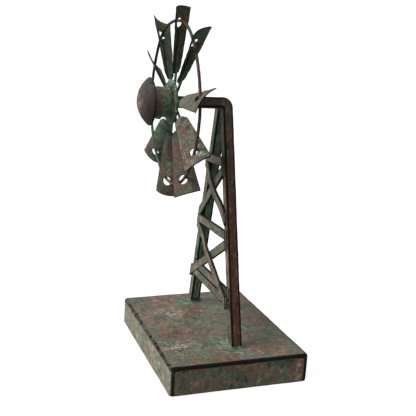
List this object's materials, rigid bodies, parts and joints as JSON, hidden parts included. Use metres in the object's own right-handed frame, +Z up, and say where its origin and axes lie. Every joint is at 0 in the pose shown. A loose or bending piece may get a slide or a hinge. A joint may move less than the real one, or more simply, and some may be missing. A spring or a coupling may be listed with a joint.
{
  "type": "garden windmill",
  "caption": "Decorative patinated-metal windmill: a pitched-blade wheel with a rim hoop and domed hub turns on an arm above a braced A-shaped stand on a block base.",
  "frame": {"origin": "centre of the base's flat underside", "axes": "+Z up; the wheel faces -Y and its axle lies along Y; the two legs stand apart along X"},
  "size_m": [0.2568, 0.2088, 0.4723],
  "materials": {
    "base_patina": "mottled grey-green and red-brown patina, satin",
    "bar_patina": "dark brown patina, black worn edges",
    "strap_patina": "grey-brown patina with green patches",
    "blade_patina": "brown and green verdigris, dark edges",
    "spoke_patina": "dark green and red-brown patina",
    "hub_patina": "green verdigris",
    "dome_patina": "red-brown patina with a grey-green rim",
    "plain_steel": "dull steel",
    "bush_brass": "turned, oiled"
  },
  "bodies": {
    "stand": {"base_shell": "base_patina", "base_bottom": "base_patina", "near_leg_arm": "bar_patina", "far_leg": "bar_patina", "near_foot_weld": "base_patina", "far_foot_weld": "base_patina", "apex_weld": "bar_patina", "brace_1": "strap_patina", "brace_2": "strap_patina", "brace_3": "strap_patina", "brace_4": "strap_patina", "brace_5": "strap_patina", "brace_6": "strap_patina", "brace_7": "strap_patina", "brace_8": "strap_patina", "axle": "plain_steel", "rear_washer": "plain_steel", "front_washer": "plain_steel", "axle_nut": "plain_steel"},
    "wheel": {"hub_bush": "bush_brass", "hub_flange": "hub_patina", "hub_drum": "hub_patina", "hub_front_plate": "hub_patina", "dome_cap": "dome_patina", "spoke_01": "spoke_patina", "spoke_02": "spoke_patina", "spoke_03": "spoke_patina", "spoke_04": "spoke_patina", "spoke_05": "spoke_patina", "spoke_06": "spoke_patina", "spoke_07": "spoke_patina", "spoke_08": "spoke_patina", "spoke_09": "spoke_patina", "spoke_10": "spoke_patina", "blade_01": "blade_patina", "blade_02": "blade_patina", "blade_03": "blade_patina", "blade_04": "blade_patina", "blade_05": "blade_patina", "blade_06": "blade_patina", "blade_07": "blade_patina", "blade_08": "blade_patina", "blade_09": "blade_patina", "blade_10": "blade_patina", "rim_ring": "spoke_patina", "ring_welds": "spoke_patina"}
  },
  "joints": [
    {"name": "wheel_spin", "type": "hinge", "parent": "stand", "child": "wheel", "pos_m": [-0.0075, -0.066, 0.3505], "axis": [0, 1, 0], "continuous": true}
  ]
}
